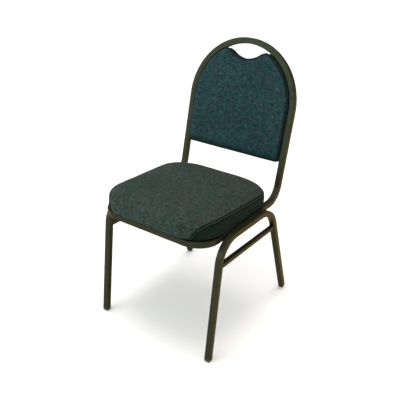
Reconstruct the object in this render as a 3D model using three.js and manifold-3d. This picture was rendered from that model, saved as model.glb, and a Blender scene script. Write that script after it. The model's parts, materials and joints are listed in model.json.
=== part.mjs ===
// Stacking chair: bent square-tube frame with a hoop back, an upholstered seat and an upholstered back panel.
// Millimetres, +Z up, the sitter faces -Y, X = 0 is the centre plane, the glides stand on Z = 0.

import * as THREE from 'three';
import { mergeVertices } from 'three/addons/utils/BufferGeometryUtils.js';
import Module from 'manifold-3d';

const wasm = await Module();
wasm.setup();

// ---- Driving dimensions -------------------------------------------------------------------------

const FIT_GAP = 0.3;             // clearance left between touching pieces
const STEP_ANGLE = 0.175;        // turn of a bend between two sections, in radians
const ROUND_SIDES = 12;          // sides of small round pieces and holes

// Square steel tube, 20 mm, with rounded corners
const TUBE = 20;
const TUBE_WALL = 1.2;
const TUBE_CORNER = 2.6;
const HALF_TUBE = TUBE / 2;

// Leg frames: an upside-down U on each side. Y is counted from the front leg's centre line at the floor.
const LEG_PLANE = 219.2;         // centre line's distance from the centre plane
const FRONT_LEG_SLOPE = 0.0947;  // run back per unit of height
const REAR_FOOT = 517.9;         // rear leg's centre line at the floor
const REAR_LEG_SLOPE = 0.4191;   // run forward per unit of height
const RAIL_HEIGHT = 416;         // rail's centre line where Y = 0
const RAIL_FALL = 0.0204;        // drop per unit of run back
const FRONT_BEND = 77;
const REAR_BEND = 112;
const TUBE_END_HEIGHT = 11;      // height of each leg tube's cut end, on its centre line

// Glides: a head as wide as the tube, bevelled in two steps, and a plug inside the tube
const GLIDE_TIP = 0.66;          // width of the head's tip, as a share of the tube
const GLIDE_BEVEL = 0.87;        // width between its two bevels, as a share of the tube
const GLIDE_BEVEL_HEIGHTS = [1.6, 4.6];
const FRONT_GLIDE_WEAR = 0.5;    // how much of each head the floor has flattened, along the leg
const REAR_GLIDE_WEAR = -1.8;
const PLUG_CORNER = 2.6;
const PLUG_LENGTH = 23;
const PLUG_TAPER = 3;

// Side stretchers, 15 mm square tube
const STRETCHER = 15;
const STRETCHER_CORNER = 2.2;
const STRETCHER_WALL = 1.2;
const STRETCHER_HEIGHT = 336;
const STRETCHER_FALL = 0.0282;

// Seat ring and hoop: one loop of tube just inside the leg frames
const LOOP_HALF_WIDTH = 197.2;
const RING_FRONT = -21.5;        // front tube's centre line
const RING_CORNER = 67;
const RING_JOINT = 225;          // where the front U is welded to the hoop's side rails
const HOOP_BEND = 62;            // bend from side rail up into the hoop
const HOOP_LEAN = THREE.MathUtils.degToRad(11);
const HOOP_REFERENCE = new THREE.Vector3(0, 429.8, 450);  // a point in the hoop's plane
const HOOP_ARC_BASE = 256.4;     // distance up the plane at which the top arc starts
const HOOP_ARC_RISE = 207.8;
const CROSS_BAR_Y = 340;

// Seat cushion, in the ring's own tilted plane
const CUSHION_HALF_WIDTH = 208.6;
const CUSHION_FRONT = -42;
const CUSHION_REAR = 373;
const CUSHION_FRONT_CORNER = 106;
const CUSHION_REAR_CORNER = 78;
const CUSHION_SIDE = 44;         // height of the side above the ring at the front
const CUSHION_WEDGE = -5;        // extra height at the rear
const CUSHION_CROWN = 32;        // rise of the crown over the side seam
const CROWN_RUN = { side: 104, front: 80, rear: 38 };   // how far in the crown rolls over
const COVER_THICKNESS = 1.2;
const SEAT_BOARD = 12;
const DUST_COVER = { thickness: 0.8, margin: 3, rearMargin: 12, rearCorner: 60 };

// Back panel, in the hoop's plane
const PANEL_GAP = 2.6;           // between the panel's edge and the hoop
const PANEL_BOTTOM = 84;
const PANEL_CORNER = 9;
const PANEL_ROUNDING = 7.5;      // roll of its front edge
const PANEL_FRONT = -24;
const PANEL_REAR = 13.6;
const REAR_COVER = { rim: 4, thickness: 3.2 };
const BACK_BOARD = 9;
const HAND_HOLD_FLOOR = 404.4;   // lowest point of the hand-hold's edge
const HAND_HOLD_RADIUS = 93;
const HAND_HOLD_ARC_HALF = 57;   // half-width of its round bottom
const HAND_HOLD_EAR = 80;        // distance from the centre plane where its shoulder meets the side

// Fixings
const TAB = { length: 27, width: 26, thickness: 2.5, corner: 5, holeOffset: 1 };
const SEAT_TAB_TOP = 8;          // above the ring's centre plane
const SEAT_TAB_Y = [70, 300];
const BACK_TAB_FRONT = 4.9;
const BACK_TAB_HEIGHTS = [130, 250];
const SEAT_BOLT = { radius: 3, headRadius: 6, headHeight: 2.4 };
const BACK_SCREW = { radius: 2, headRadius: 4.4, headHeight: 2.2 };
const TEE_NUT = { barrel: 4, bore: 3.3, flange: 9, flangeThickness: 1.3, length: 10 };
const BUMPER = { length: 42, width: 14, height: 7 };
const BUMPER_Y = [95, 320];

// ---- Materials ----------------------------------------------------------------------------------

const FINISHES = {
  frame: { color: 0x4a463a, roughness: 0.45, metalness: 0.4 },
  fabric: { color: 0x3c5557, roughness: 0.95, metalness: 0 },
  foam: { color: 0xd8cfa8, roughness: 1, metalness: 0 },
  plywood: { color: 0xb08a5c, roughness: 0.8, metalness: 0 },
  dust_cover: { color: 0x1b1b1c, roughness: 1, metalness: 0 },
  zinc: { color: 0xa9abad, roughness: 0.4, metalness: 1 },
  glide: { color: 0x151515, roughness: 0.5, metalness: 0 },
};

const chair = new THREE.Group();

function addPart(name, geometry, finish, parent = chair) {
  const mesh = new THREE.Mesh(geometry, new THREE.MeshStandardMaterial(FINISHES[finish]));
  mesh.name = name;
  parent.add(mesh);
  return mesh;
}

// ---- Solids -------------------------------------------------------------------------------------

function toSolid(geometry) {
  const bare = geometry.index ? geometry.toNonIndexed() : geometry.clone();
  bare.deleteAttribute('normal');
  bare.deleteAttribute('uv');
  const merged = mergeVertices(bare, 1e-4);
  const vertProperties = new Float32Array(merged.attributes.position.array);
  const triVerts = new Uint32Array(merged.index.array);
  return new wasm.Manifold(new wasm.Mesh({ numProp: 3, vertProperties, triVerts }));
}

function toGeometry(solid) {
  const mesh = solid.getMesh();
  const geometry = new THREE.BufferGeometry();
  geometry.setAttribute('position', new THREE.BufferAttribute(mesh.vertProperties, 3));
  geometry.setIndex(new THREE.BufferAttribute(mesh.triVerts, 1));
  return geometry;
}

function cut(geometry, ...tools) {
  const solid = tools.reduce((rest, tool) => rest.subtract(toSolid(tool)), toSolid(geometry));
  return toGeometry(solid);
}

// A closed body through a stack of outlines that all have the same number of points, lowest first.
function loft(layers) {
  const positions = layers.flat().flatMap((p) => [p.x, p.y, p.z]);
  const count = layers[0].length;
  const index = [];
  for (let k = 0; k + 1 < layers.length; k += 1) {
    for (let i = 0; i < count; i += 1) {
      const a = k * count + i;
      const b = k * count + (i + 1) % count;
      index.push(a, b, b + count, a, b + count, a + count);
    }
  }
  const top = (layers.length - 1) * count;
  for (let i = 1; i + 1 < count; i += 1) {
    index.push(0, i + 1, i);
    index.push(top, top + i, top + i + 1);
  }
  const geometry = new THREE.BufferGeometry();
  geometry.setAttribute('position', new THREE.Float32BufferAttribute(positions, 3));
  geometry.setIndex(index);
  return geometry;
}

// Joins runs of points into one outline, without repeating the point where two runs meet.
function joinRuns(...runs) {
  const points = [];
  for (const point of runs.flat()) {
    const last = points.at(-1);
    if (!last || last.distanceTo(point) > 1e-5) points.push(point);
  }
  if (points[0].distanceTo(points.at(-1)) < 1e-5) points.pop();
  return points;
}

function arc(x, y, radiusX, radiusY, from, to, steps) {
  return new THREE.EllipseCurve(x, y, radiusX, radiusY, from, to, to < from).getPoints(steps);
}

// Anticlockwise rectangle around the origin. The radii are those of the corners at -Y and at +Y.
function roundedRectangle(width, height, lowRadius, highRadius = lowRadius, steps = 3) {
  const corners = [[1, -1, -1], [1, 1, 0], [-1, 1, 1], [-1, -1, 2]];
  const runs = corners.map(([sideX, sideY, turn]) => {
    const radius = sideY < 0 ? lowRadius : highRadius;
    const x = sideX * (width / 2 - radius);
    const y = sideY * (height / 2 - radius);
    const start = turn * Math.PI / 2;
    return arc(x, y, radius, radius, start, start + Math.PI / 2, steps);
  });
  return joinRuns(...runs);
}

// ---- Bent tubes ---------------------------------------------------------------------------------

// A route that has a section only where it starts, ends or turns.
class BentRoute extends THREE.Curve {
  constructor(stations) {
    super();
    this.stations = stations;
  }

  station(u) {
    return this.stations[Math.round(u * (this.stations.length - 1))];
  }

  getPoint(u, target = new THREE.Vector3()) {
    return target.copy(this.station(u).point);
  }

  getPointAt(u, target) {
    return this.getPoint(u, target);
  }

  getTangentAt(u, target = new THREE.Vector3()) {
    return target.copy(this.station(u).tangent);
  }
}

// Straight runs between the corners, with a round bend of the given radius at each inner corner.
function filletedStations(corners, radii) {
  const directions = corners.slice(1).map((corner, i) => corner.clone().sub(corners[i]).normalize());
  const stations = [{ point: corners[0], tangent: directions[0] }];
  radii.forEach((radius, i) => {
    const inward = directions[i];
    const onward = directions[i + 1];
    const turn = inward.angleTo(onward);
    const start = corners[i + 1].clone().addScaledVector(inward, -radius * Math.tan(turn / 2));
    const towardsCentre = onward.clone().addScaledVector(inward, -onward.dot(inward)).normalize();
    const steps = Math.ceil(turn / STEP_ANGLE);
    for (let k = 0; k <= steps; k += 1) {
      const angle = turn * k / steps;
      const point = start.clone()
        .addScaledVector(inward, radius * Math.sin(angle))
        .addScaledVector(towardsCentre, radius * (1 - Math.cos(angle)));
      const tangent = inward.clone().multiplyScalar(Math.cos(angle))
        .addScaledVector(towardsCentre, Math.sin(angle));
      stations.push({ point, tangent });
    }
  });
  stations.push({ point: corners.at(-1), tangent: directions.at(-1) });
  return stations;
}

// The same run on the other side of the centre plane, walked the other way.
function mirroredBack(stations) {
  return stations.map(({ point, tangent }) => ({
    point: new THREE.Vector3(-point.x, point.y, point.z),
    tangent: new THREE.Vector3(tangent.x, -tangent.y, -tangent.z),
  })).reverse();
}

function tubeSection(size, corner, wall) {
  const shape = new THREE.Shape(roundedRectangle(size, size, corner));
  if (wall > 0) {
    const bore = size - 2 * wall;
    const boreCorner = corner - wall;
    shape.holes.push(new THREE.Path(roundedRectangle(bore, bore, boreCorner, boreCorner, 1)));
  }
  return shape;
}

function sweep(stations, section) {
  const extrudePath = new BentRoute(stations);
  return new THREE.ExtrudeGeometry(section, { steps: stations.length - 1, extrudePath });
}

// ---- Leg frames, stretchers and glides ----------------------------------------------------------

function frontLegPoint(x, z) {
  return new THREE.Vector3(x, FRONT_LEG_SLOPE * z, z);
}

function rearLegPoint(x, z) {
  return new THREE.Vector3(x, REAR_FOOT - REAR_LEG_SLOPE * z, z);
}

function legStations(x) {
  const frontTop = RAIL_HEIGHT / (1 + RAIL_FALL * FRONT_LEG_SLOPE);
  const rearTop = (RAIL_HEIGHT - RAIL_FALL * REAR_FOOT) / (1 - RAIL_FALL * REAR_LEG_SLOPE);
  const corners = [
    frontLegPoint(x, TUBE_END_HEIGHT),
    frontLegPoint(x, frontTop),
    rearLegPoint(x, rearTop),
    rearLegPoint(x, TUBE_END_HEIGHT),
  ];
  return filletedStations(corners, [FRONT_BEND, REAR_BEND]);
}

function stretcher(x) {
  const front = frontLegPoint(x, STRETCHER_HEIGHT);
  const rear = rearLegPoint(x, STRETCHER_HEIGHT - STRETCHER_FALL * REAR_FOOT);
  const along = new THREE.Vector3(0, 1, -STRETCHER_FALL).normalize();
  const stations = [front, rear].map((point) => ({ point, tangent: along }));
  const tube = sweep(stations, tubeSection(STRETCHER, STRETCHER_CORNER, STRETCHER_WALL));
  const legEnvelope = sweep(legStations(x), tubeSection(TUBE + 2 * FIT_GAP, TUBE_CORNER, 0));
  return cut(tube, legEnvelope);
}

// A moulded plug in the end of a leg tube. Its head is bevelled, and worn flat where it meets the floor.
function glide(x, pointAt, wear) {
  const end = pointAt(x, TUBE_END_HEIGHT);
  const up = pointAt(x, TUBE_END_HEIGHT + 1).sub(end).normalize();
  const tip = -(TUBE_END_HEIGHT + wear) / up.z;
  const plug = TUBE - 2 * TUBE_WALL - 2 * FIT_GAP;
  const layers = [
    [tip, TUBE * GLIDE_TIP, TUBE_CORNER],
    [tip + GLIDE_BEVEL_HEIGHTS[0], TUBE * GLIDE_BEVEL, TUBE_CORNER],
    [tip + GLIDE_BEVEL_HEIGHTS[1], TUBE, TUBE_CORNER],
    [-FIT_GAP, TUBE, TUBE_CORNER],
    [-FIT_GAP, plug, PLUG_CORNER],
    [PLUG_LENGTH - PLUG_TAPER, plug, PLUG_CORNER],
    [PLUG_LENGTH, plug - PLUG_TAPER, PLUG_CORNER],
  ].map(([z, size, corner]) => roundedRectangle(size, size, corner)
    .map((p) => new THREE.Vector3(p.x, p.y, z)));
  const turn = new THREE.Quaternion().setFromUnitVectors(new THREE.Vector3(0, 0, 1), up);
  const placed = loft(layers).applyQuaternion(turn).translate(end.x, end.y, end.z);
  const floorBlock = 4 * TUBE;
  const floor = new THREE.BoxGeometry(floorBlock, floorBlock, floorBlock)
    .translate(end.x, end.y, -floorBlock / 2);
  return cut(placed, floor);
}

for (const [side, sign] of [['left', -1], ['right', 1]]) {
  const x = sign * LEG_PLANE;
  const section = tubeSection(TUBE, TUBE_CORNER, TUBE_WALL);
  addPart(`${side}_leg_frame`, sweep(legStations(x), section), 'frame');
  addPart(`${side}_stretcher`, stretcher(x), 'frame');
  addPart(`front_${side}_glide`, glide(x, frontLegPoint, FRONT_GLIDE_WEAR), 'glide');
  addPart(`rear_${side}_glide`, glide(x, rearLegPoint, REAR_GLIDE_WEAR), 'glide');
}

// ---- Seat ring and hoop -------------------------------------------------------------------------

function railPoint(x, y) {
  return new THREE.Vector3(x, y, RAIL_HEIGHT - RAIL_FALL * y);
}

function frontRailStations() {
  const corners = [
    railPoint(-LOOP_HALF_WIDTH, RING_JOINT - FIT_GAP),
    railPoint(-LOOP_HALF_WIDTH, RING_FRONT),
    railPoint(LOOP_HALF_WIDTH, RING_FRONT),
    railPoint(LOOP_HALF_WIDTH, RING_JOINT - FIT_GAP),
  ];
  return filletedStations(corners, [RING_CORNER, RING_CORNER]);
}

function hoopPoint(x, rise) {
  const up = new THREE.Vector3(0, Math.sin(HOOP_LEAN), Math.cos(HOOP_LEAN));
  return HOOP_REFERENCE.clone().addScaledVector(up, rise).setX(x);
}

function hoopStations() {
  const lean = Math.tan(HOOP_LEAN);
  const reach = HOOP_REFERENCE.y + (RAIL_HEIGHT - HOOP_REFERENCE.z) * lean;
  const corner = railPoint(-LOOP_HALF_WIDTH, reach / (1 + RAIL_FALL * lean));
  const arcBase = hoopPoint(-LOOP_HALF_WIDTH, HOOP_ARC_BASE);
  const side = filletedStations([railPoint(-LOOP_HALF_WIDTH, RING_JOINT), corner, arcBase], [HOOP_BEND]);
  const steps = Math.ceil(Math.PI / STEP_ANGLE);
  const top = [];
  for (let k = 1; k < steps; k += 1) {
    const angle = Math.PI * (1 - k / steps);
    const point = hoopPoint(LOOP_HALF_WIDTH * Math.cos(angle), HOOP_ARC_BASE + HOOP_ARC_RISE * Math.sin(angle));
    const rising = -HOOP_ARC_RISE * Math.cos(angle);
    const tangent = new THREE.Vector3(
      LOOP_HALF_WIDTH * Math.sin(angle),
      rising * Math.sin(HOOP_LEAN),
      rising * Math.cos(HOOP_LEAN),
    ).normalize();
    top.push({ point, tangent });
  }
  return [...side, ...top, ...mirroredBack(side)];
}

addPart('seat_front_rail', sweep(frontRailStations(), tubeSection(TUBE, TUBE_CORNER, TUBE_WALL)), 'frame');
addPart('back_hoop', sweep(hoopStations(), tubeSection(TUBE, TUBE_CORNER, TUBE_WALL)), 'frame');

// The seat's own frame: its origin is on the ring's centre plane, above the front legs.
const seat = new THREE.Group();
seat.position.set(0, 0, RAIL_HEIGHT);
seat.rotation.x = -Math.atan(RAIL_FALL);
chair.add(seat);

function crossBar() {
  const halfLength = LOOP_HALF_WIDTH - HALF_TUBE - FIT_GAP;
  const across = new THREE.Vector3(1, 0, 0);
  const stations = [-halfLength, halfLength].map((x) => ({
    point: new THREE.Vector3(x, CROSS_BAR_Y, 0),
    tangent: across,
  }));
  return sweep(stations, tubeSection(STRETCHER, STRETCHER_CORNER, STRETCHER_WALL));
}

addPart('rear_cross_bar', crossBar(), 'frame', seat);

// ---- Fixings ------------------------------------------------------------------------------------

// Pan head below Z = 0 with a shallow drive recess, shank above it.
function screw({ radius, headRadius, headHeight }, length) {
  const profile = [
    [0, -headHeight * 0.4],
    [headRadius * 0.35, -headHeight],
    [headRadius * 0.75, -headHeight],
    [headRadius, -headHeight * 0.45],
    [headRadius, 0],
    [radius, 0],
    [radius, length - radius * 0.6],
    [radius * 0.5, length],
    [0, length],
  ].map(([x, y]) => new THREE.Vector2(x, y));
  return new THREE.LatheGeometry(profile, ROUND_SIDES).rotateX(Math.PI / 2);
}

function cylinder(radius, low, high) {
  const height = high - low;
  return new THREE.CylinderGeometry(radius, radius, height, ROUND_SIDES)
    .rotateX(Math.PI / 2)
    .translate(0, 0, low + height / 2);
}

// A flat plate whose edge is welded to a tube at X = 0. It reaches towards +X and has one hole.
function tab(holeRadius) {
  const plate = new THREE.Shape(roundedRectangle(TAB.length, TAB.width, TAB.corner, TAB.corner, 2));
  const hole = arc(TAB.holeOffset, 0, holeRadius, holeRadius, 0, 2 * Math.PI, ROUND_SIDES);
  plate.holes.push(new THREE.Path(hole.slice(0, -1)));
  const geometry = new THREE.ExtrudeGeometry(plate, { depth: TAB.thickness, bevelEnabled: false });
  return geometry.translate(TAB.length / 2, 0, 0);
}

const TAB_HOLE_X = TAB.length / 2 + TAB.holeOffset;   // the hole's distance from the welded edge
const TAB_EDGE = LOOP_HALF_WIDTH - HALF_TUBE - FIT_GAP;

function teeNut() {
  const { barrel, bore, flange, flangeThickness, length } = TEE_NUT;
  const profile = [
    [bore, 0], [barrel, 0], [barrel, length - flangeThickness],
    [flange, length - flangeThickness], [flange, length], [bore, length], [bore, 0],
  ].map(([x, y]) => new THREE.Vector2(x, y));
  return new THREE.LatheGeometry(profile, ROUND_SIDES).rotateX(Math.PI / 2);
}

// ---- Seat upholstery ----------------------------------------------------------------------------

const BOARD_BASE = HALF_TUBE + FIT_GAP;
const BOARD_TOP = BOARD_BASE + SEAT_BOARD;
const FOAM_BASE = BOARD_TOP + FIT_GAP;

// Outline of the cushion in plan, pulled in by its own amount at the sides, the front and the rear.
function cushionLayer(inset, insetFront, insetRear, height, wedge) {
  const front = CUSHION_FRONT + insetFront;
  const rear = CUSHION_REAR - insetRear;
  const width = 2 * (CUSHION_HALF_WIDTH - inset);
  const middle = (front + rear) / 2;
  const outline = roundedRectangle(width, rear - front, CUSHION_FRONT_CORNER, CUSHION_REAR_CORNER, 6);
  return outline.map((p) => {
    const y = p.y + middle;
    const share = (y - CUSHION_FRONT) / (CUSHION_REAR - CUSHION_FRONT);
    return new THREE.Vector3(p.x, y, height + wedge * share);
  });
}

// The cushion from its base up: upright sides, then a crown whose front rolls over more than its sides.
function cushionBody(skin, base) {
  const seam = HALF_TUBE + CUSHION_SIDE - skin;
  const layers = [
    cushionLayer(skin, skin, skin, base, 0),
    cushionLayer(skin, skin, skin, seam, CUSHION_WEDGE),
  ];
  for (const turn of [0.4, 0.8, 1.15, 1.45]) {
    const share = 1 - Math.cos(turn);
    const inset = skin + CROWN_RUN.side * share;
    const insetFront = skin + CROWN_RUN.front * share;
    const insetRear = skin + CROWN_RUN.rear * share;
    const height = seam + CUSHION_CROWN * Math.sin(turn);
    layers.push(cushionLayer(inset, insetFront, insetRear, height, CUSHION_WEDGE));
  }
  return loft(layers);
}

function seatBoard() {
  const skin = COVER_THICKNESS + FIT_GAP;
  const board = loft([
    cushionLayer(skin, skin, skin, BOARD_BASE, 0),
    cushionLayer(skin, skin, skin, BOARD_TOP, 0),
  ]);
  const holes = SEAT_FIXINGS.flatMap(({ x, y }) => [
    cylinder(TEE_NUT.barrel + FIT_GAP, BOARD_BASE - 5, BOARD_TOP + 5).translate(x, y, 0),
    cylinder(TEE_NUT.flange + FIT_GAP, BOARD_TOP - TEE_NUT.flangeThickness - FIT_GAP, BOARD_TOP + 5)
      .translate(x, y, 0),
  ]);
  return cut(board, ...holes);
}

function dustCover() {
  const { thickness, margin, rearMargin, rearCorner } = DUST_COVER;
  const width = 2 * (LOOP_HALF_WIDTH - HALF_TUBE - margin);
  const front = RING_FRONT + HALF_TUBE + margin;
  const depth = CUSHION_REAR - rearMargin - front;
  const outline = roundedRectangle(width, depth, RING_CORNER - HALF_TUBE, rearCorner, 6);
  const geometry = new THREE.ExtrudeGeometry(new THREE.Shape(outline), { depth: thickness, bevelEnabled: false });
  geometry.translate(0, front + depth / 2, BOARD_BASE - FIT_GAP - thickness);
  const holes = SEAT_FIXINGS.map(({ x, y }) => (
    cylinder(SEAT_BOLT.radius + 2 * FIT_GAP, 0, BOARD_TOP).translate(x, y, 0)
  ));
  return cut(geometry, ...holes);
}

const SEAT_FIXINGS = [['left', -1], ['right', 1]].flatMap(([side, sign]) => [
  { name: `front_${side}`, sign, x: sign * (TAB_EDGE - TAB_HOLE_X), y: SEAT_TAB_Y[0] },
  { name: `rear_${side}`, sign, x: sign * (TAB_EDGE - TAB_HOLE_X), y: SEAT_TAB_Y[1] },
]);

addPart('seat_board', seatBoard(), 'plywood', seat);
addPart('seat_foam', cushionBody(COVER_THICKNESS + FIT_GAP, FOAM_BASE), 'foam', seat);
addPart('seat_cover', cut(cushionBody(0, BOARD_BASE), cushionBody(COVER_THICKNESS, BOARD_BASE - 20)), 'fabric', seat);
addPart('seat_dust_cover', dustCover(), 'dust_cover', seat);

for (const { name, sign, x, y } of SEAT_FIXINGS) {
  const tabBase = SEAT_TAB_TOP - TAB.thickness;
  const plate = addPart(`${name}_seat_tab`, tab(SEAT_BOLT.radius + 0.4), 'frame', seat);
  plate.position.set(sign * TAB_EDGE, y, tabBase);
  plate.rotation.z = sign > 0 ? Math.PI : 0;
  const bolt = addPart(`${name}_seat_bolt`, screw(SEAT_BOLT, 14.5), 'zinc', seat);
  bolt.position.set(x, y, tabBase - FIT_GAP);
  const nut = addPart(`${name}_tee_nut`, teeNut(), 'zinc', seat);
  nut.position.set(x, y, BOARD_TOP - TEE_NUT.length);
}

// ---- Stacking bumpers under the side rails ------------------------------------------------------

function bumper() {
  const layers = [[0, 3], [2, 0], [BUMPER.height, 0]].map(([z, inset]) => (
    roundedRectangle(BUMPER.width - 2 * inset, BUMPER.length - 2 * inset, 4 - inset / 2)
      .map((p) => new THREE.Vector3(p.x, p.y, z - BUMPER.height))
  ));
  return loft(layers);
}

for (const [side, sign] of [['left', -1], ['right', 1]]) {
  BUMPER_Y.forEach((y, i) => {
    const pad = addPart(`${i ? 'rear' : 'front'}_${side}_stack_bumper`, bumper(), 'glide', seat);
    pad.position.set(sign * LOOP_HALF_WIDTH, y, -HALF_TUBE - FIT_GAP);
  });
}

// ---- Back panel ---------------------------------------------------------------------------------

// The panel's own frame: X across, Y through its thickness towards the rear, Z up the hoop's plane.
const back = new THREE.Group();
back.position.copy(HOOP_REFERENCE);
back.rotation.x = -HOOP_LEAN;
chair.add(back);

// Right half of the panel's outline, from the middle of its bottom to the middle of the hand-hold.
function halfPanelOutline(inset) {
  const halfWidth = LOOP_HALF_WIDTH - HALF_TUBE - PANEL_GAP - inset;
  const rise = HOOP_ARC_RISE - HALF_TUBE - PANEL_GAP - inset;
  const bottom = PANEL_BOTTOM + inset;
  const corner = PANEL_CORNER - inset;
  const bowl = HAND_HOLD_RADIUS + inset;
  const bowlCentre = HAND_HOLD_FLOOR + HAND_HOLD_RADIUS;
  const bowlTurn = Math.asin(HAND_HOLD_ARC_HALF / bowl);
  const ear = Math.acos((HAND_HOLD_EAR - inset) / halfWidth);
  const bowlEnd = new THREE.Vector2(HAND_HOLD_ARC_HALF, bowlCentre - bowl * Math.cos(bowlTurn));
  const earTip = new THREE.Vector2(HAND_HOLD_EAR - inset, HOOP_ARC_BASE + rise * Math.sin(ear));
  const shoulder = bowlEnd.clone().add(new THREE.Vector2(8, 8 * Math.tan(bowlTurn)));
  return joinRuns(
    [new THREE.Vector2(0, bottom)],
    arc(halfWidth - corner, bottom + corner, corner, corner, -Math.PI / 2, 0, 4),
    arc(0, HOOP_ARC_BASE, halfWidth, rise, 0, ear, 9),
    new THREE.QuadraticBezierCurve(earTip, shoulder, bowlEnd).getPoints(4),
    arc(0, bowlCentre, bowl, bowl, bowlTurn - Math.PI / 2, -Math.PI / 2, 5),
  );
}

function panelOutline(inset) {
  const right = halfPanelOutline(inset);
  const left = right.slice(1, -1).reverse().map((p) => new THREE.Vector2(-p.x, p.y));
  return new THREE.Shape([...right, ...left]);
}

// A slab of the panel's outline between two depths. A rounding rolls its front edge over.
function panelSlab(inset, front, rear, rounding = 0) {
  const shape = panelOutline(inset);
  const depth = rear - front;
  if (rounding === 0) {
    const flat = new THREE.ExtrudeGeometry(shape, { depth, bevelEnabled: false });
    return flat.rotateX(Math.PI / 2).translate(0, rear, 0);
  }
  // The extrusion is bevelled at both ends, so it runs past the rear and is cut off square there.
  const excess = 2 * rounding;
  const bevel = {
    depth: depth - 2 * rounding + excess,
    bevelThickness: rounding,
    bevelSize: rounding,
    bevelOffset: -rounding,
    bevelSegments: 2,
  };
  const solid = new THREE.ExtrudeGeometry(shape, bevel)
    .rotateX(Math.PI / 2)
    .translate(0, rear + excess - rounding, 0);
  const height = HOOP_ARC_BASE + HOOP_ARC_RISE;
  const behind = new THREE.BoxGeometry(3 * LOOP_HALF_WIDTH, 2 * excess, 2 * height)
    .translate(0, rear + excess, height / 2);
  return cut(solid, behind);
}

const BOARD_FRONT = -BACK_BOARD / 2;
const BOARD_REAR = BACK_BOARD / 2;
const SKIN = COVER_THICKNESS + FIT_GAP;

const BACK_FIXINGS = [['left', -1], ['right', 1]].flatMap(([side, sign]) => [
  { name: `lower_${side}`, sign, x: sign * (TAB_EDGE - TAB_HOLE_X), z: BACK_TAB_HEIGHTS[0] },
  { name: `upper_${side}`, sign, x: sign * (TAB_EDGE - TAB_HOLE_X), z: BACK_TAB_HEIGHTS[1] },
]);

// A pilot hole through the board for each screw, along Y.
function pilotHoles() {
  return BACK_FIXINGS.map(({ x, z }) => (
    cylinder(BACK_SCREW.radius + FIT_GAP, -20, 20).rotateX(Math.PI / 2).translate(x, 0, z)
  ));
}

function rearCover() {
  const rimFront = BACK_TAB_FRONT + TAB.thickness + FIT_GAP;
  const recess = panelSlab(REAR_COVER.rim, BOARD_REAR, PANEL_REAR - REAR_COVER.thickness);
  return cut(panelSlab(0, rimFront, PANEL_REAR), recess);
}

const coverOuter = panelSlab(0, PANEL_FRONT, BOARD_REAR, PANEL_ROUNDING);
const innerRounding = PANEL_ROUNDING - COVER_THICKNESS;
const coverInner = panelSlab(COVER_THICKNESS, PANEL_FRONT + COVER_THICKNESS, PANEL_REAR, innerRounding);

addPart('back_board', cut(panelSlab(SKIN, BOARD_FRONT, BOARD_REAR), ...pilotHoles()), 'plywood', back);
addPart('back_foam', panelSlab(SKIN, PANEL_FRONT + SKIN, BOARD_FRONT - FIT_GAP, innerRounding), 'foam', back);
addPart('back_front_cover', cut(coverOuter, coverInner), 'fabric', back);
addPart('back_rear_cover', rearCover(), 'fabric', back);

for (const { name, sign, x, z } of BACK_FIXINGS) {
  const plate = addPart(`${name}_back_tab`, tab(BACK_SCREW.radius + 0.5), 'frame', back);
  plate.position.set(sign * TAB_EDGE, BACK_TAB_FRONT + TAB.thickness, z);
  plate.rotation.set(Math.PI / 2, 0, sign > 0 ? Math.PI : 0);
  const fixing = addPart(`${name}_back_screw`, screw(BACK_SCREW, 11), 'zinc', back);
  fixing.position.set(x, BACK_TAB_FRONT + TAB.thickness + FIT_GAP, z);
  fixing.rotation.x = Math.PI / 2;
}

// ---- Origin: centre of the footprint, on the floor ----------------------------------------------

const bounds = new THREE.Box3().setFromObject(chair, true);
chair.position.y = -(bounds.min.y + bounds.max.y) / 2;

const model = new THREE.Group();
model.add(chair);
export default model;
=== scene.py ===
"""Looks of the stacking chair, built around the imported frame. Metres, +Z up, the sitter faces -Y."""

import json
import math

import bpy
import numpy as np
from mathutils import Matrix, Vector, noise
from mathutils.bvhtree import BVHTree


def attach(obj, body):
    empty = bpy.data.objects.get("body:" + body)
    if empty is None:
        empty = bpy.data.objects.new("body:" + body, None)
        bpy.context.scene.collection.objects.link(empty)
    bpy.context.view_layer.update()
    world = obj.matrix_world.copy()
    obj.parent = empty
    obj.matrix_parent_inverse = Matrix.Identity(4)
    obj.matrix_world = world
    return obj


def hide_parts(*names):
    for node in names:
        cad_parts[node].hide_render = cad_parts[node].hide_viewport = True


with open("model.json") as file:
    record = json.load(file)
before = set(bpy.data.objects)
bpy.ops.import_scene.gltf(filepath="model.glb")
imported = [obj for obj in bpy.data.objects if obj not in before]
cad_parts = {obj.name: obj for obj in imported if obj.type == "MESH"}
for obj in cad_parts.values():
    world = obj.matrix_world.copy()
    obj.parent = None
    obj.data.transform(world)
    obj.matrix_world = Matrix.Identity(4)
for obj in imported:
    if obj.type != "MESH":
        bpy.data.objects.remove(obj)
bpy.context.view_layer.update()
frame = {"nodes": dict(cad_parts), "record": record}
SCENE = bpy.context.scene
SCENE.view_settings.view_transform = "Standard"

# ---- Driving dimensions, the same as the CAD's ------------------------------------------------------

TUBE = 0.020
HALF_TUBE = TUBE / 2
TUBE_CORNER = 0.0026
STRETCHER = 0.015
STRETCHER_CORNER = 0.0022
FIT_GAP = 0.0003

LEG_ORIGIN = -0.2439            # Y of the front legs' centre line at the floor
LEG_PLANE = 0.2192
FRONT_LEG_SLOPE = 0.0947
REAR_FOOT = 0.5179
REAR_LEG_SLOPE = 0.4191
RAIL_HEIGHT = 0.416
RAIL_FALL = 0.0204
FRONT_BEND = 0.077
REAR_BEND = 0.112
TUBE_END_HEIGHT = 0.011
STRETCHER_HEIGHT = 0.336
STRETCHER_FALL = 0.0282

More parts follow.
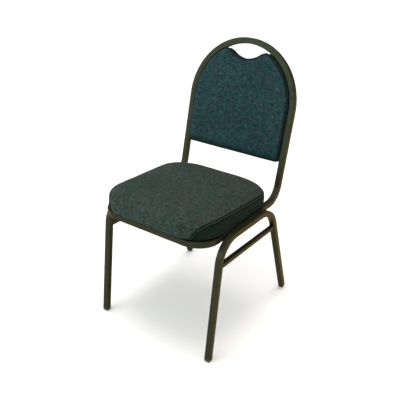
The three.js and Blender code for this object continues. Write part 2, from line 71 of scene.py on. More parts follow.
LOOP_HALF_WIDTH = 0.1972
RING_FRONT = -0.0215
RING_CORNER = 0.067
RING_JOINT = 0.225
HOOP_BEND = 0.062
HOOP_LEAN = math.radians(11)
HOOP_REFERENCE = (0.4298, 0.450)
HOOP_ARC_BASE = 0.2564
HOOP_ARC_RISE = 0.2078
CROSS_BAR_Y = 0.340

CUSHION_HALF_WIDTH = 0.2086
CUSHION_FRONT = -0.042
CUSHION_REAR = 0.373
CUSHION_FRONT_CORNER = 0.106
CUSHION_REAR_CORNER = 0.078
CUSHION_BASE = 0.0101           # above the ring's centre plane
CUSHION_SIDE = 0.054
CUSHION_WEDGE = -0.005
CUSHION_CROWN = 0.032
CROWN_RUN = (0.104, 0.080, 0.038)   # how far in the crown rolls over at the side, front and rear
CROWN_TURN = 1.5                # angle that the crown turns through
BASE_ROUNDING = 0.004           # of the cushion's lower edge
BASE_SHADE_STRIP = 0.008            # height of the cover tucked in behind the ring, which gets painted shade
HELD_STRIP = 0.006              # width of the cover that is fixed to its board

PANEL_GAP = 0.0026
PANEL_BOTTOM = 0.084
PANEL_CORNER = 0.009
PANEL_FRONT = -0.024
PANEL_REAR = 0.0136
PAD_REAR = 0.0043
REAR_COVER_FRONT = 0.0078
HAND_HOLD_FLOOR = 0.4044
HAND_HOLD_RADIUS = 0.093
HAND_HOLD_ARC_HALF = 0.057
HAND_HOLD_EAR = 0.080
HAND_HOLD_FLARE = 0.008         # how far the bowl's slope runs on towards the ear
PAD_CORNER = 0.002              # lower corners of the back pad before it is smoothed
PAD_ROUNDING = 0.008            # of its front edge
REAR_PAD_ROUNDING = 0.003
RIM_FACING = 0.84               # the rim, where the pad's cover faces forwards less than this, gets painted shade
BINDING_RADIUS = 0.0022         # of the hand-hold's binding
BINDING_DEPTH = 0.006           # of its centre line behind the panel's front
BINDING_INSET = 0.0012          # and below the panel's edge
BINDING_TAIL = 0.016            # how far it runs on past the ears
BINDING_TUCK = (0.01, 0.012, 0.004)     # at its ends: a share inwards, and how far back and down

SEAM_HEIGHT = 0.061             # of the boxing's seam above the ring's centre plane
SEAM_FRONT = 0.05               # Y in front of which the middle of the cushion is all top panel
WELT_WIDTH = 0.0085
WELT_RISE = 0.0022
SEAM_HOLLOW = (0.012, 0.0014)   # width and depth of the padding's broad dip along the seam
SEAM_GROOVE = (0.0052, 0.0020)  # and of the narrow groove within it
STITCH_PITCH = 0.0065
STITCH_LENGTH = 0.0042
STITCH_RADIUS = 0.00045
STITCH_ROW = 0.0026             # each row's distance from the seam
STITCH_LIFT = 0.0018            # of a stitch's centre line off the cushion

THREAD = 0.0017                 # pitch of the fabric's threads
SLUB = 0.0044                   # length of the fabric's coloured slubs
LOWER_EDGE_SHADE_DEPTH = 0.028               # height of the painted shade that darkens the back's cover down to its lower edge

STRETCHER_OVERLAP = (0.001, 0.003)      # how far its ends run into the front and rear leg
REAR_LEG_SLANT = 1.08           # how much thicker the rear leg is along the stretcher
BEAD_CORNER = 0.003             # of a bead's path around a tube
STRETCHER_BEAD = 0.0013
CROSS_BAR_BEAD = 0.0014
JOINT_BEAD = 0.0009
RAIL_BEAD = 0.0024
RAIL_BEAD_PLACES = (("front", 0.058, 0.098), ("rear", 0.215, 0.262))
RAIL_BEAD_OFF_LEG = 0.001
RAIL_BEAD_SINK = 0.0012         # below the ring's top face
BEAD_RIPPLES = 420              # per metre
BEAD_RIPPLE_SHARE = 0.5         # of its radius

FLOOR_SIZE = 60
CAMERA_PLACE = (0.9101, -1.3635, 1.2059)
CAMERA_TARGET = (-0.0012, 0.0054, 0.4082)
CAMERA_ROLL = math.radians(2.213)
CAMERA_LENS = 48.20             # mm, on a sensor 36 mm wide

# The ring's tilted frame and the hoop's leaning frame, as in the CAD
SEAT_FRAME = (Matrix.Translation((0, LEG_ORIGIN, RAIL_HEIGHT))
              @ Matrix.Rotation(-math.atan(RAIL_FALL), 4, "X"))
BACK_FRAME = (Matrix.Translation((0, LEG_ORIGIN + HOOP_REFERENCE[0], HOOP_REFERENCE[1]))
              @ Matrix.Rotation(-HOOP_LEAN, 4, "X"))


# ---- Camera -----------------------------------------------------------------------------------------

def add_camera():
    data = bpy.data.cameras.new("camera")
    data.sensor_width = 36
    data.lens = CAMERA_LENS
    data.clip_end = 100
    camera = bpy.data.objects.new("camera", data)
    camera.location = CAMERA_PLACE
    aim = (Vector(CAMERA_TARGET) - camera.location).to_track_quat("-Z", "Y").to_matrix()
    roll = Matrix.Rotation(CAMERA_ROLL, 3, "Z")
    camera.rotation_euler = (aim @ roll).to_euler()
    SCENE.collection.objects.link(camera)
    SCENE.camera = camera


add_camera()


# ---- Node helpers -----------------------------------------------------------------------------------

class Shader:
    """A material with one Principled shader, and short ways to add and join nodes."""

    def __init__(self, name, **sockets):
        self.material = bpy.data.materials.new(name)
        self.material.use_nodes = True
        self.tree = self.material.node_tree
        self.surface = self.tree.nodes["Principled BSDF"]
        for socket, value in sockets.items():
            self.surface.inputs[socket.replace("_", " ")].default_value = value
        self.place = self.node("ShaderNodeTexCoord").outputs["Object"]

    def node(self, kind, **settings):
        made = self.tree.nodes.new(kind)
        for setting, value in settings.items():
            setattr(made, setting, value)
        return made

    def link(self, source, target):
        self.tree.links.new(source, target)

    def texture(self, kind, scale, place=None, **inputs):
        made = self.node(kind)
        self.link(place or self.place, made.inputs["Vector"])
        made.inputs["Scale"].default_value = scale
        for name, value in inputs.items():
            made.inputs[name].default_value = value
        return made

    def noise(self, scale, detail=2.0, roughness=0.5, place=None):
        made = self.texture("ShaderNodeTexNoise", scale, place, Detail=detail, Roughness=roughness)
        return made.outputs["Fac"]

    def turned(self, rotation, scale=(1, 1, 1)):
        made = self.node("ShaderNodeMapping")
        self.link(self.place, made.inputs["Vector"])
        made.inputs["Rotation"].default_value = rotation
        made.inputs["Scale"].default_value = scale
        return made.outputs["Vector"]

    def bands(self, period, place):
        """Soft stripes across X, a period apart."""
        scale = math.tau / (20 * period)
        made = self.texture("ShaderNodeTexWave", scale, place)
        made.inputs["Distortion"].default_value = 0
        return made.outputs["Fac"]

    def ramp(self, value, stops, interpolation="LINEAR"):
        made = self.node("ShaderNodeValToRGB")
        made.color_ramp.interpolation = interpolation
        elements = made.color_ramp.elements
        while len(elements) < len(stops):
            elements.new(0.5)
        for element, (position, colour) in zip(elements, stops):
            element.position = position
            element.color = (*colour, 1)
        self.link(value, made.inputs["Fac"])
        return made.outputs["Color"]

    def mix(self, share, first, second, blend="MIX"):
        """share, first and second are each a socket or a constant."""
        made = self.node("ShaderNodeMix", data_type="RGBA", blend_type=blend)
        for value, target in ((share, made.inputs[0]), (first, made.inputs[6]), (second, made.inputs[7])):
            if isinstance(value, bpy.types.NodeSocket):
                self.link(value, target)
            else:
                target.default_value = value if isinstance(value, float) else (*value, 1)
        return made.outputs[2]

    def math(self, operation, first, second):
        made = self.node("ShaderNodeMath", operation=operation)
        for value, target in ((first, made.inputs[0]), (second, made.inputs[1])):
            if isinstance(value, bpy.types.NodeSocket):
                self.link(value, target)
            else:
                target.default_value = value
        return made.outputs[0]

    def span(self, value, low, high):
        """Maps 0..1 to low..high."""
        made = self.node("ShaderNodeMapRange")
        made.inputs["To Min"].default_value = low
        made.inputs["To Max"].default_value = high
        self.link(value, made.inputs["Value"])
        return made.outputs["Result"]

    def bump(self, height, distance, strength=1.0):
        made = self.node("ShaderNodeBump")
        made.inputs["Distance"].default_value = distance
        made.inputs["Strength"].default_value = strength
        self.link(height, made.inputs["Height"])
        self.link(made.outputs["Normal"], self.surface.inputs["Normal"])

    def colour(self, socket):
        self.link(socket, self.surface.inputs["Base Color"])

    def roughness(self, socket):
        self.link(socket, self.surface.inputs["Roughness"])


# ---- Materials --------------------------------------------------------------------------------------

def tweed(name, warp, weft, shade, shade_edge=None):
    """Woven upholstery: teal threads both ways, with burgundy, green and pale slubs.

    shade scales the fabric's red, green and blue. Given shade_edge, a height, it paints shade that
    darkens the cloth down to that height.
    """
    cloth = Shader(name, Roughness=0.95, Sheen_Weight=0.03, Sheen_Roughness=0.5, Specular_IOR_Level=0.06)
    cloth.surface.inputs["Sheen Tint"].default_value = (0.45, 0.62, 0.62, 1)
    along = cloth.bands(THREAD, cloth.turned(warp))
    across = cloth.bands(THREAD, cloth.turned(weft))
    weave = cloth.math("MULTIPLY", along, across)

    def toned(colour):
        return tuple(scale * channel for scale, channel in zip(shade, colour))

    slubs = cloth.texture("ShaderNodeTexVoronoi", 1 / SLUB, cloth.turned(weft, (1, 2.2, 1)))
    split = cloth.node("ShaderNodeSeparateColor")
    cloth.link(slubs.outputs["Color"], split.inputs["Color"])
    threads = cloth.ramp(split.outputs["Red"], [
        (0.0, toned((0.011, 0.029, 0.030))),
        (0.32, toned((0.018, 0.042, 0.044))),
        (0.54, toned((0.003, 0.013, 0.015))),
        (0.68, toned((0.006, 0.056, 0.030))),
        (0.79, toned((0.070, 0.016, 0.032))),
        (0.91, toned((0.046, 0.082, 0.082))),
    ], "CONSTANT")
    clouds = cloth.ramp(cloth.noise(88, 3, 0.75), [
        (0.38, toned((0.001, 0.026, 0.019))),
        (0.44, toned((0.038, 0.024, 0.034))),
        (0.50, toned((0.002, 0.050, 0.044))),
        (0.56, toned((0.040, 0.032, 0.042))),
        (0.63, toned((0.034, 0.068, 0.068))),
    ])
    colour = cloth.mix(0.6, threads, clouds)
    pits = cloth.ramp(weave, [(0.0, (0.62, 0.62, 0.62)), (0.5, (1.12, 1.12, 1.12))])
    colour = cloth.mix(0.9, colour, pits, "MULTIPLY")
    worn = cloth.ramp(cloth.noise(9, 3, 0.6), [(0.35, (0.92, 0.94, 0.94)), (0.65, (1.10, 1.08, 1.06))])
    colour = cloth.mix(1.0, colour, worn, "MULTIPLY")
    # Painted shade along the pad's lower edge, where the cover turns under.
    if shade_edge:
        axes = cloth.node("ShaderNodeSeparateXYZ")
        cloth.link(cloth.place, axes.inputs["Vector"])
        above = cloth.math("DIVIDE", cloth.math("SUBTRACT", axes.outputs["Z"], shade_edge), LOWER_EDGE_SHADE_DEPTH)
        lower_edge_shade = cloth.ramp(above, [
            (0.0, (0.14, 0.14, 0.14)),
            (0.4, (0.5, 0.5, 0.5)),
            (1.0, (1.0, 1.0, 1.0)),
        ])
        colour = cloth.mix(1.0, colour, lower_edge_shade, "MULTIPLY")
    cloth.colour(colour)
    fuzz = cloth.math("MULTIPLY", cloth.noise(900, 2), 0.6)
    cloth.bump(cloth.math("ADD", weave, fuzz), 0.0006, 0.8)
    cloth.roughness(cloth.span(cloth.noise(300), 0.86, 1.0))
    return cloth.material


def vein_paint(name):
    """Semi-gloss powder coat: a dark bronze ground, broken by fine gold veins."""
    paint = Shader(name, Metallic=0.6, Coat_Weight=0.07, Coat_Roughness=0.2, Specular_IOR_Level=0.02)
    paint.surface.inputs["Specular Tint"].default_value = (0.80, 0.58, 0.24, 1)
    ground = paint.ramp(paint.noise(45, 4, 0.6), [
        (0.35, (0.007, 0.020, 0.016)),
        (0.65, (0.022, 0.027, 0.018)),
    ])
    curdle = paint.noise(620, 3, 0.6)
    veins = paint.ramp(curdle, [
        (0.44, (0.0, 0.0, 0.0)),
        (0.50, (1.0, 1.0, 1.0)),
        (0.56, (0.0, 0.0, 0.0)),
    ])
    gold = paint.mix(veins, ground, (0.056, 0.040, 0.014))
    scuffs = paint.ramp(paint.noise(28, 6, 0.75), [(0.66, (0.0, 0.0, 0.0)), (0.74, (0.5, 0.5, 0.5))])
    paint.colour(paint.mix(scuffs, gold, (0.042, 0.039, 0.024)))
    paint.roughness(paint.span(paint.noise(160, 3), 0.26, 0.46))
    paint.bump(paint.math("ADD", curdle, paint.noise(240, 2)), 0.00018, 0.6)
    return paint.material


def moulded_plastic(name):
    """Black nylon with a fine spark-eroded grain, scuffed paler in patches."""
    plastic = Shader(name)
    scuffs = plastic.ramp(plastic.noise(220, 5, 0.7), [
        (0.50, (0.012, 0.012, 0.013)),
        (0.68, (0.045, 0.044, 0.042)),
    ])
    plastic.colour(scuffs)
    plastic.roughness(plastic.span(plastic.noise(130, 3), 0.38, 0.62))
    plastic.bump(plastic.noise(1500, 2), 0.0001, 0.5)
    return plastic.material


def zinc(name):
    """Bright zinc plate with its crystalline clouding."""
    metal = Shader(name, Metallic=1.0)
    flakes = metal.texture("ShaderNodeTexVoronoi", 420).outputs["Distance"]
    metal.colour(metal.ramp(flakes, [(0.1, (0.50, 0.51, 0.50)), (0.8, (0.68, 0.68, 0.62))]))
    metal.roughness(metal.span(metal.noise(300, 3), 0.22, 0.45))
    metal.bump(metal.noise(900, 2), 0.00005, 0.5)
    return metal.material


def plywood(name):
    """Birch ply: grain along X and the veneers' lines through its thickness."""
    ply = Shader(name, Roughness=0.7)
    grain = ply.noise(60, 5, 0.6, ply.turned((0, 0, 0), (0.12, 1, 6)))
    ply.colour(ply.ramp(grain, [(0.35, (0.33, 0.20, 0.10)), (0.65, (0.55, 0.39, 0.22))]))
    ply.roughness(ply.span(grain, 0.6, 0.85))
    ply.bump(grain, 0.0003, 0.5)
    return ply.material


def dust_cloth(name):
    """Thin black non-woven cloth with a bonded dot pattern."""
    cloth = Shader(name, Sheen_Weight=0.15)
    dots = cloth.math("MULTIPLY", cloth.bands(0.0016, cloth.turned((0, 0, 0.785))),
                      cloth.bands(0.0016, cloth.turned((0, 0, -0.785))))
    cloth.colour(cloth.ramp(dots, [(0.2, (0.014, 0.014, 0.015)), (0.8, (0.030, 0.030, 0.032))]))
    cloth.roughness(cloth.span(cloth.noise(200), 0.85, 1.0))
    cloth.bump(dots, 0.0002, 0.6)
    return cloth.material


def cut_foam(name):
    """Open-cell foam, for the layers inside the covers."""
    foam = Shader(name, Roughness=1.0)
    cells = foam.texture("ShaderNodeTexVoronoi", 900).outputs["Distance"]
    foam.colour(foam.ramp(cells, [(0.1, (0.50, 0.44, 0.24)), (0.7, (0.78, 0.72, 0.48))]))
    foam.bump(cells, 0.0005, 0.8)
    foam.roughness(foam.span(cells, 0.9, 1.0))
    return foam.material


SEAT_WARP = (0, 0, 0)
SEAT_WEFT = (math.radians(-45), 0, math.radians(90))
SIDE_WARP = (math.radians(45), 0, math.radians(90))

# The seat's and the back's copies of the same tweed differ in tint to paint light: the seat browner, as
# lit from above, the back tealer.
FABRIC = tweed("tweed", SEAT_WARP, SEAT_WEFT, (1.42, 1.22, 1.05))
# The boxing's copy is darkened to paint the shade on the cushion's sides and rear.
SHADED_BOXING_FABRIC = tweed("tweed_boxing_painted_shade", SIDE_WARP, SEAT_WEFT, (0.34, 0.42, 0.28))
WELT_FABRIC = tweed("tweed_welt", SIDE_WARP, SEAT_WEFT, (0.85, 0.95, 0.80))
# A near-black copy that paints the shade in the creases beside the seam's welt.
CREASE_SHADE_FABRIC = tweed("tweed_crease_painted_shade", SIDE_WARP, SEAT_WEFT, (0.04, 0.06, 0.05))
PAD_SHADE_EDGE = (BACK_FRAME @ Vector((0, PANEL_FRONT, PANEL_BOTTOM))).z
BACK_FABRIC = tweed("tweed_back", SEAT_WARP, SEAT_WEFT, (0.86, 1.22, 1.36), PAD_SHADE_EDGE)
# A darker copy that paints the shade on the back pad's rolled-over rim; the hand-hold's binding uses it
# too.
RIM_SHADE_FABRIC = tweed("tweed_rim_painted_shade", SEAT_WARP, SEAT_WEFT, (0.38, 0.54, 0.58))
THREAD_FABRIC = tweed("seam_thread", SEAT_WARP, SEAT_WEFT, (0.3, 0.3, 0.3))
PAINT = vein_paint("vein_paint")
PLASTIC = moulded_plastic("black_nylon")
ZINC = zinc("zinc_plate")
CAD_MATERIALS = {
    "frame_paint": PAINT,
    "upholstery": FABRIC,
    "foam": cut_foam("foam"),
    "plywood": plywood("plywood"),
    "dust_cloth": dust_cloth("dust_cloth"),
    "zinc_steel": ZINC,
    "black_plastic": PLASTIC,
}


def dress_cad_nodes():
    slots = {part["node"]: part["material_slot"] for part in frame["record"]["subparts"]}
    for name, node in frame["nodes"].items():
        node.data.materials.clear()
        node.data.materials.append(CAD_MATERIALS[slots[name]])


dress_cad_nodes()


# ---- Meshes -----------------------------------------------------------------------------------------

def make_piece(name, points, faces, material, normals=None):
    """A smooth mesh piece that rides on the chair's one body."""
    mesh = bpy.data.meshes.new(name)
    mesh.from_pydata([tuple(p) for p in points], [], faces)
    mesh.validate()
    mesh.shade_smooth()
    if normals:
        mesh.normals_split_custom_set_from_vertices([tuple(n) for n in normals])
    mesh.materials.append(material)
    piece = bpy.data.objects.new(name, mesh)
    SCENE.collection.objects.link(piece)
    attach(piece, "root")
    return piece


def rounded_section(size, corner, steps=4):
    """Points and outward normals around a rounded square."""
    section = []
    reach = size / 2 - corner
    for turn, (x, y) in enumerate(((1, -1), (1, 1), (-1, 1), (-1, -1))):
        for k in range(steps + 1):
            angle = math.radians(90) * (turn - 1 + k / steps)
            normal = Vector((math.cos(angle), math.sin(angle)))
            section.append((Vector((x * reach, y * reach)) + normal * corner, normal))
    return section


def round_section(radius, sides=10):
    section = []
    for k in range(sides):
        normal = Vector((math.cos(math.tau * k / sides), math.sin(math.tau * k / sides)))
        section.append((normal * radius, normal))
    return section


def fillet_route(corners, radii, step=math.radians(4)):
    """Stations of straight runs joined by round bends: a point and a direction each."""
    ways = [(b - a).normalized() for a, b in zip(corners, corners[1:])]
    stations = [(corners[0], ways[0])]
    for radius, corner, into, onward in zip(radii, corners[1:], ways, ways[1:]):
        turn = into.angle(onward)
        start = corner - into * radius * math.tan(turn / 2)
        inward = (onward - into * onward.dot(into)).normalized()
        steps = math.ceil(turn / step)
        for k in range(steps + 1):
            angle = turn * k / steps
            point = start + into * radius * math.sin(angle) + inward * radius * (1 - math.cos(angle))
            stations.append((point, into * math.cos(angle) + inward * math.sin(angle)))
    stations.append((corners[-1], ways[-1]))
    return stations


def carried_frames(stations, first_side):
    """The section's two axes at each station, carried along without twist."""
    side = first_side
    frames = []
    for _, way in stations:
        side = (side - way * side.dot(way)).normalized()
        frames.append((side, way.cross(side)))
    return frames


def sweep(name, stations, section, first_side, material, capped=True):
    """A section carried along a route. Its normals are exact, so flats stay flat and corners round."""
    points, normals, faces = [], [], []
    count = len(section)
    frames = carried_frames(stations, first_side)
    for (centre, _), (side, up) in zip(stations, frames):
        for offset, normal in section:
            points.append(centre + side * offset.x + up * offset.y)
            normals.append(side * normal.x + up * normal.y)
    for k in range(len(stations) - 1):
        for i in range(count):
            a, b = k * count + i, k * count + (i + 1) % count
            faces.append((a, b, b + count, a + count))
    if capped:
        for k, sign in ((0, -1), (len(stations) - 1, 1)):
            base = len(points)
            points.extend(points[k * count:(k + 1) * count])
            normals.extend([stations[k][1] * sign] * count)
            ring = range(base, base + count)
            faces.append(tuple(ring) if sign > 0 else tuple(reversed(ring)))
    return make_piece(name, points, faces, material, normals)


# ---- Frame tubes ------------------------------------------------------------------------------------

X_AXIS = Vector((1, 0, 0))
OBLIQUE = Vector((0.31, 0.42, 0.85))    # a direction that no weld runs in
TUBE_SECTION = rounded_section(TUBE, TUBE_CORNER)
STRETCHER_SECTION = rounded_section(STRETCHER, STRETCHER_CORNER)


def front_leg_point(x, z):
    return Vector((x, LEG_ORIGIN + FRONT_LEG_SLOPE * z, z))


def rear_leg_point(x, z):
    return Vector((x, LEG_ORIGIN + REAR_FOOT - REAR_LEG_SLOPE * z, z))


def leg_route(x):
    front_top = RAIL_HEIGHT / (1 + RAIL_FALL * FRONT_LEG_SLOPE)
    rear_top = (RAIL_HEIGHT - RAIL_FALL * REAR_FOOT) / (1 - RAIL_FALL * REAR_LEG_SLOPE)
    corners = [
        front_leg_point(x, TUBE_END_HEIGHT),
        front_leg_point(x, front_top),
        rear_leg_point(x, rear_top),
        rear_leg_point(x, TUBE_END_HEIGHT),
    ]
    return fillet_route(corners, [FRONT_BEND, REAR_BEND])


def stretcher_ends(x):
    """Where the stretcher's centre line meets the inner faces of the two legs."""
    way = Vector((0, 1, -STRETCHER_FALL)).normalized()
    front = front_leg_point(x, STRETCHER_HEIGHT) + way * HALF_TUBE
    rear_height = STRETCHER_HEIGHT - STRETCHER_FALL * (REAR_FOOT - REAR_LEG_SLOPE * STRETCHER_HEIGHT)
    rear = rear_leg_point(x, rear_height) - way * HALF_TUBE * REAR_LEG_SLANT
    return front, rear, way


def ring_point(x, y, height=0.0):
    return SEAT_FRAME @ Vector((x, y, height))


def ring_route():
    corners = [
        ring_point(-LOOP_HALF_WIDTH, RING_JOINT - FIT_GAP),
        ring_point(-LOOP_HALF_WIDTH, RING_FRONT),
        ring_point(LOOP_HALF_WIDTH, RING_FRONT),
        ring_point(LOOP_HALF_WIDTH, RING_JOINT - FIT_GAP),
    ]
    return fillet_route(corners, [RING_CORNER, RING_CORNER])


def hoop_point(x, rise):
    return BACK_FRAME @ Vector((x, 0, rise))


def hoop_route():
    up = (hoop_point(0, 1) - hoop_point(0, 0)).normalized()
    joint = ring_point(-LOOP_HALF_WIDTH, RING_JOINT)
    back = (ring_point(-LOOP_HALF_WIDTH, 1) - joint).normalized()
    base = hoop_point(-LOOP_HALF_WIDTH, 0)
    # The side rail's line meets the hoop's plane here.
    normal = X_AXIS.cross(up)
    corner = joint + back * ((base - joint).dot(normal) / back.dot(normal))
    side = fillet_route([joint, corner, hoop_point(-LOOP_HALF_WIDTH, HOOP_ARC_BASE)], [HOOP_BEND])
    top = []
    steps = 60
    for k in range(1, steps):
        angle = math.pi * (1 - k / steps)
        across, along = math.cos(angle), math.sin(angle)
        point = hoop_point(LOOP_HALF_WIDTH * across, HOOP_ARC_BASE + HOOP_ARC_RISE * along)
        way = X_AXIS * LOOP_HALF_WIDTH * along - up * HOOP_ARC_RISE * across
        top.append((point, way.normalized()))
    other = [(Vector((-p.x, p.y, p.z)), Vector((w.x, -w.y, -w.z))) for p, w in reversed(side)]
    return side + top + other


def weld_bead(name, points, radius):
    """A lumpy, rippled bead along the points."""
    ways = [(b - a).normalized() for a, b in zip(points, points[1:])]
    stations = list(zip(points, ways + [ways[-1]]))
    piece = sweep(name, stations, round_section(radius), OBLIQUE, PAINT)
    for vertex in piece.data.vertices:
        ripple = noise.noise(vertex.co * BEAD_RIPPLES)
        centre = min(points, key=lambda p: (p - vertex.co).length)
        vertex.co = centre + (vertex.co - centre) * (1 + BEAD_RIPPLE_SHARE * ripple)
    return piece


def dense(points, spacing=0.0015):
    """The same path with points at an even, close spacing."""
    result = [points[0]]
    for a, b in zip(points, points[1:]):
        steps = max(1, round((b - a).length / spacing))
        result.extend(a.lerp(b, k / steps) for k in range(1, steps + 1))
    return result


def around_section(centre, way, size, corner):
    """A closed path around a tube's outline, in the plane across it."""
    up = way.cross(X_AXIS).normalized()
    outline = [centre + X_AXIS * p.x + up * p.y for p, _ in rounded_section(size, corner, 2)]
    return dense(outline + [outline[0]])


def build_frame():
    for side, x in (("left", -LEG_PLANE), ("right", LEG_PLANE)):
        leg = sweep(f"{side}_leg_tube", leg_route(x), TUBE_SECTION, X_AXIS, PAINT)
        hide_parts(f"{side}_leg_frame")
        front, rear, way = stretcher_ends(x)
        into_front, into_rear = STRETCHER_OVERLAP
        run = [(front - way * into_front, way), (rear + way * into_rear, way)]
        bar = sweep(f"{side}_stretcher_tube", run, STRETCHER_SECTION, X_AXIS, PAINT)
        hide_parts(f"{side}_stretcher")
        for end, centre in (("front", front), ("rear", rear)):
            path = around_section(centre, way, STRETCHER, BEAD_CORNER)
            weld_bead(f"{side}_{end}_stretcher_weld", path, STRETCHER_BEAD)
        inward = math.copysign(LEG_PLANE - HALF_TUBE - RAIL_BEAD_OFF_LEG, x)
        height = HALF_TUBE - RAIL_BEAD_SINK
        for place, start, end in RAIL_BEAD_PLACES:
            path = dense([ring_point(inward, start, height), ring_point(inward, end, height)])
            weld_bead(f"{side}_{place}_rail_weld", path, RAIL_BEAD)
        joint = ring_point(math.copysign(LOOP_HALF_WIDTH, x), RING_JOINT)
        back = (ring_point(0, 1) - ring_point(0, 0)).normalized()
        weld_bead(f"{side}_ring_joint_weld", around_section(joint, back, TUBE, BEAD_CORNER), JOINT_BEAD)
    ring = sweep("seat_ring_tube", ring_route(), TUBE_SECTION, X_AXIS, PAINT)
    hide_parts("seat_front_rail")
    hoop = sweep("hoop_tube", hoop_route(), TUBE_SECTION, X_AXIS, PAINT)
    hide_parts("back_hoop")
    half = LOOP_HALF_WIDTH - HALF_TUBE
    run = [(ring_point(-half, CROSS_BAR_Y), X_AXIS), (ring_point(half, CROSS_BAR_Y), X_AXIS)]
    bar = sweep("cross_bar_tube", run, STRETCHER_SECTION, Vector((0, 1, 0)), PAINT)
    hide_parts("rear_cross_bar")
    for side, x in (("left", -half), ("right", half)):
        section = rounded_section(STRETCHER, BEAD_CORNER, 2)
        outline = [ring_point(x, CROSS_BAR_Y + p.x, p.y) for p, _ in section]
        weld_bead(f"{side}_cross_bar_weld", dense(outline + [outline[0]]), CROSS_BAR_BEAD)


build_frame()


# ---- Padding ----------------------------------------------------------------------------------------

SWELL = 0.0005     # how much smaller a cover starts where pressure fills it out
MOST_SWELL = SWELL + 0.002                # and the furthest that the pressure may move it
PRESSURE = 4.0
PRESSURE_FRAMES = 20


def loft(name, layers, material):
    """A closed body through outlines that all have the same number of points, lowest first."""
    count = len(layers[0])
    points = [p for layer in layers for p in layer]
    faces = []
    for k in range(len(layers) - 1):
        for i in range(count):
            a, b = k * count + i, k * count + (i + 1) % count
            faces.append((a, b, b + count, a + count))
    top = (len(layers) - 1) * count
    faces.append(tuple(reversed(range(count))))
    faces.append(tuple(range(top, top + count)))
    return make_piece(name, points, faces, material)


def apply_modifiers(piece):
    """Replaces the piece's mesh with what its modifiers make of it."""
    graph = bpy.context.evaluated_depsgraph_get()
    mesh = bpy.data.meshes.new_from_object(piece.evaluated_get(graph))
    piece.modifiers.clear()
    piece.data = mesh


def coordinates(mesh):
    flat = np.empty(len(mesh.vertices) * 3, np.float32)
    mesh.vertices.foreach_get("co", flat)
    return flat.reshape(-1, 3).astype(float)


def set_coordinates(mesh, places):
    mesh.vertices.foreach_set("co", places.astype(np.float32).ravel())
    mesh.update()


def vertex_normals(mesh):
    flat = np.empty(len(mesh.vertices) * 3, np.float32)
    mesh.vertices.foreach_get("normal", flat)
    return flat.reshape(-1, 3).astype(float)


def nearest_gaps(places, line):
    """How far each place is from the nearest point of a line."""
    gaps = np.empty(len(places))
    block = 4000
    for start in range(0, len(places), block):
        part = places[start:start + block]
        gaps[start:start + block] = np.linalg.norm(part[:, None] - line[None], axis=2).min(axis=1)
    return gaps


def in_frame(places, matrix):
    """Places carried through a 4 x 4 matrix."""
    turn = np.array(matrix)
    return places @ turn[:3, :3].T + turn[:3, 3]


def evened_out(mesh, values, passes):
    """Values at a mesh's vertices, averaged with their neighbours' over and over."""
    ends = np.empty(len(mesh.edges) * 2, np.int32)
    mesh.edges.foreach_get("vertices", ends)
    first, second = ends.reshape(-1, 2).T
    count = len(values)
    neighbours = np.bincount(first, minlength=count) + np.bincount(second, minlength=count)
    for _ in range(passes):
        total = np.bincount(first, values[second], count) + np.bincount(second, values[first], count)
        values = (values + total / np.maximum(neighbours, 1)) / 2
    return values


def remesh_evenly(piece, voxel):
    remesh = piece.modifiers.new("remesh", "REMESH")
    remesh.mode = "VOXEL"
    remesh.voxel_size = voxel
    remesh.use_smooth_shade = True
    apply_modifiers(piece)


def moved_by_pressure(piece, start, held):
    """How far cloth pressure carries each vertex from its start. Those at held places stay there."""
    group = piece.vertex_groups.new(name="held")
    group.add([i for i, p in enumerate(start) if held(p)], 1.0, "REPLACE")
    cloth = piece.modifiers.new("cloth", "CLOTH")
    settings = cloth.settings
    settings.use_pressure = True
    settings.uniform_pressure_force = PRESSURE
    settings.effector_weights.gravity = 0
    settings.vertex_group_mass = "held"
    settings.bending_stiffness = 2.0
    cloth.point_cache.frame_start = 1
    cloth.point_cache.frame_end = PRESSURE_FRAMES
    for step in range(1, PRESSURE_FRAMES + 1):
        SCENE.frame_set(step)
    graph = bpy.context.evaluated_depsgraph_get()
    moved = coordinates(piece.evaluated_get(graph).data) - start
    piece.modifiers.clear()
    piece.vertex_groups.clear()
    SCENE.frame_set(1)
    return moved


def inflate(piece, voxel, held):
    """Remeshes a pad evenly, lets cloth pressure round it outwards and refines it once.

    held(point) is true where the cover is fixed to its board.
    """
    remesh_evenly(piece, voxel)
    start = coordinates(piece.data)
    moved = moved_by_pressure(piece, start, held)
    normals = vertex_normals(piece.data)
    outwards = np.clip((moved * normals).sum(axis=1), 0, MOST_SWELL)
    outwards = evened_out(piece.data, outwards, 12)
    set_coordinates(piece.data, start + normals * outwards[:, None])
    smooth = piece.modifiers.new("even", "SMOOTH")
    smooth.factor = 0.5
    smooth.iterations = 4
    refine = piece.modifiers.new("refine", "SUBSURF")
    refine.levels = 1
    refine.render_levels = 1
    apply_modifiers(piece)
    piece.data.shade_smooth()


def corner_arc(x, y, radius, start, turn, steps):
    return [Vector((x + radius * math.cos(start + turn * k / steps),
                    y + radius * math.sin(start + turn * k / steps))) for k in range(steps + 1)]


# ---- Seat cushion -----------------------------------------------------------------------------------

def cushion_outline(inset, inset_front, inset_rear):
    """The cushion in plan, anticlockwise, pulled in at the sides, the front and the rear."""
    half = CUSHION_HALF_WIDTH - inset
    front = CUSHION_FRONT + inset_front
    rear = CUSHION_REAR - inset_rear
    quarter = math.pi / 2
    outline = []
    for turn, (x, y) in enumerate(((1, -1), (1, 1), (-1, 1), (-1, -1))):
        radius = CUSHION_FRONT_CORNER if y < 0 else CUSHION_REAR_CORNER
        centre_y = front + radius if y < 0 else rear - radius
        outline += corner_arc(x * (half - radius), centre_y, radius, (turn - 1) * quarter, quarter, 14)
    return outline


def cushion_layer(inset, inset_front, inset_rear, height, wedge):
    layer = []
    for p in cushion_outline(inset, inset_front, inset_rear):
        share = (p.y - CUSHION_FRONT) / (CUSHION_REAR - CUSHION_FRONT)
        layer.append(SEAT_FRAME @ Vector((p.x, p.y, height + wedge * share)))
    return layer


